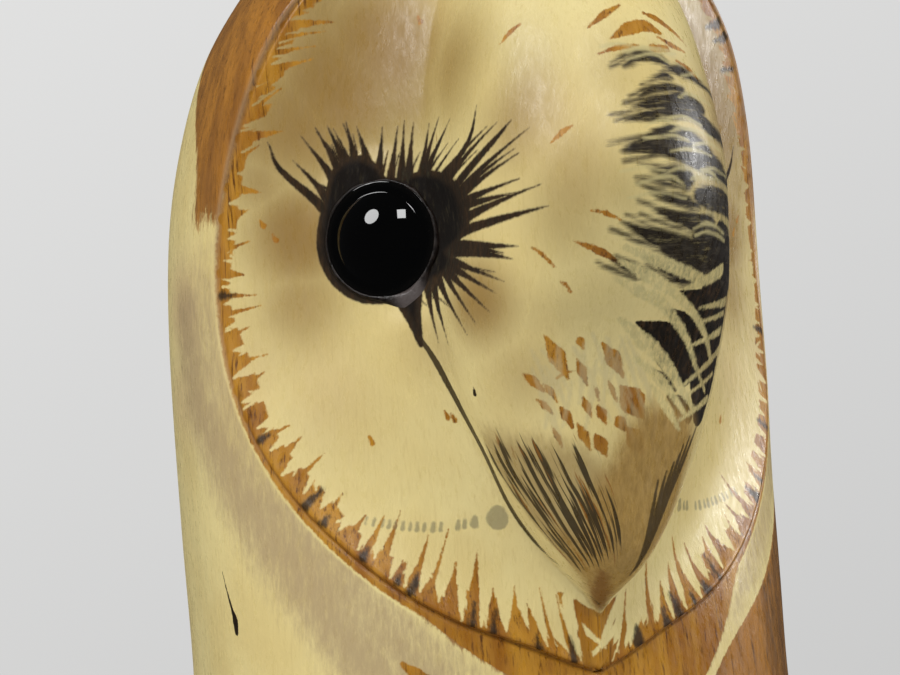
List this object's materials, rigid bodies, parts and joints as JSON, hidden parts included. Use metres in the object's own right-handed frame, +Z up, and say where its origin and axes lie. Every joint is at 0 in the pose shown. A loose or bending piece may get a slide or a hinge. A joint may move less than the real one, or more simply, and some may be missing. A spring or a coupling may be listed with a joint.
{
  "type": "owl figurine",
  "caption": "Carved and painted wooden barn owl with a hollowed heart-shaped face, glass eyes, applied wings and feet, standing on a turned round base.",
  "frame": {"origin": "middle of the underside of the felt pad, on the surface the figurine stands on", "axes": "+Z up, the owl looks along -Y, its left side is +X"},
  "size_m": [0.128, 0.128, 0.2959],
  "materials": {
    "painted_wood": "hand-painted and satin varnished",
    "wing_wood": "stained, painted and satin varnished",
    "foot_wood": "painted, satin",
    "base_wood": "stained and polished",
    "dowel_wood": "raw",
    "eye_glass": "polished black",
    "eye_wire": "drawn wire",
    "putty": "painted putty, satin",
    "horn_paint": "glossy dark enamel",
    "rod_steel": "zinc plated",
    "felt": "wool felt"
  },
  "bodies": {
    "root": {"head": "painted_wood", "body": "painted_wood", "neck_dowel": "dowel_wood", "right_eye": "eye_glass", "left_eye": "eye_glass", "right_eye_stem": "eye_wire", "left_eye_stem": "eye_wire", "right_eye_putty": "putty", "left_eye_putty": "putty", "right_wing": "wing_wood", "left_wing": "wing_wood", "wing_pegs": "dowel_wood", "tail": "wing_wood", "right_leg": "painted_wood", "left_leg": "painted_wood", "right_foot": "foot_wood", "left_foot": "foot_wood", "talons": "horn_paint", "leg_rods": "rod_steel", "rod_washers": "rod_steel", "rod_nuts": "rod_steel", "base": "base_wood", "felt_pad": "felt"}
  },
  "joints": []
}
